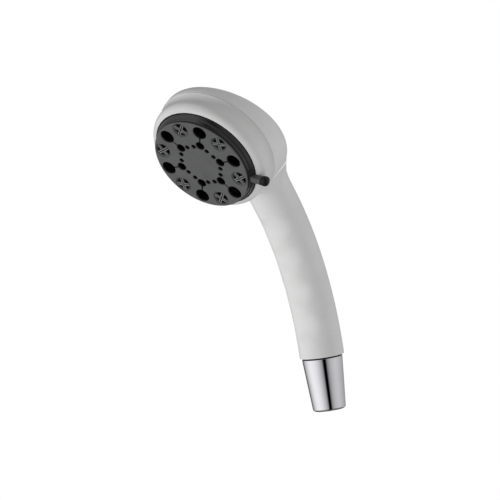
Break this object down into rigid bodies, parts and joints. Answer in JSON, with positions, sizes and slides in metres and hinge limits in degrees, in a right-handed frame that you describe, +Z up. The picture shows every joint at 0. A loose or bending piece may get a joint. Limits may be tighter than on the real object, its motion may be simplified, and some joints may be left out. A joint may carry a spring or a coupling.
{
  "type": "handheld shower head",
  "caption": "Hand shower: curved white handle, tilted round head with a turning dark spray selector and side lever, chrome conical union nut at the water inlet.",
  "frame": {"origin": "centre of the union nut's lower opening, where the hose enters", "axes": "+Z up along the inlet axis, spray side towards -Y, selector lever at rest towards +X"},
  "size_m": [0.0778, 0.1133, 0.2079],
  "materials": {
    "white_shell": "smooth moulded, soft gloss",
    "dark_face": "fine satin texture",
    "dark_nozzle": "satin",
    "dark_gloss": "polished",
    "chrome": "bright chrome plate",
    "brass": "turned",
    "steel": "bright",
    "rubber": "smooth",
    "inner_plastic": "natural moulded",
    "inner_dark": "moulded",
    "turbine_plastic": "natural acetal"
  },
  "bodies": {
    "handpiece": {"handle_shell": "white_shell", "inlet_spigot": "brass", "spigot_o_ring": "rubber", "flow_regulator": "inner_plastic", "hose_washer": "rubber", "filter_screen": "steel", "water_tube": "inner_plastic", "tube_o_rings": "rubber", "head_back_shell": "white_shell", "head_bezel": "white_shell", "valve_body": "inner_plastic", "valve_screws": "steel", "click_spring": "steel", "port_seal": "rubber", "port_spring": "steel"},
    "hose_nut": {"union_nut": "chrome"},
    "spray_selector": {"selector_ring": "dark_gloss", "spray_face": "dark_face", "star_nozzles": "dark_nozzle", "face_gaskets": "rubber", "distribution_plate": "inner_dark", "spindle_o_ring": "rubber", "spindle_washer": "steel", "spindle_screw": "steel", "turbine_pin": "steel", "swirl_ring": "inner_plastic"},
    "massage_turbine": {"turbine": "turbine_plastic"}
  },
  "joints": [
    {"name": "nut_turn", "type": "hinge", "parent": "handpiece", "child": "hose_nut", "pos_m": [0, 0, 0], "axis": [0, 0, 1], "continuous": true},
    {"name": "selector_turn", "type": "hinge", "parent": "handpiece", "child": "spray_selector", "pos_m": [0, -0.08362, 0.16217], "axis": [0, -0.8554, -0.518], "range_deg": [-120, 0], "deforming": ["click_spring"]},
    {"name": "turbine_spin", "type": "hinge", "parent": "spray_selector", "child": "massage_turbine", "pos_m": [0, -0.08362, 0.16217], "axis": [0, -0.8554, -0.518], "continuous": true}
  ]
}
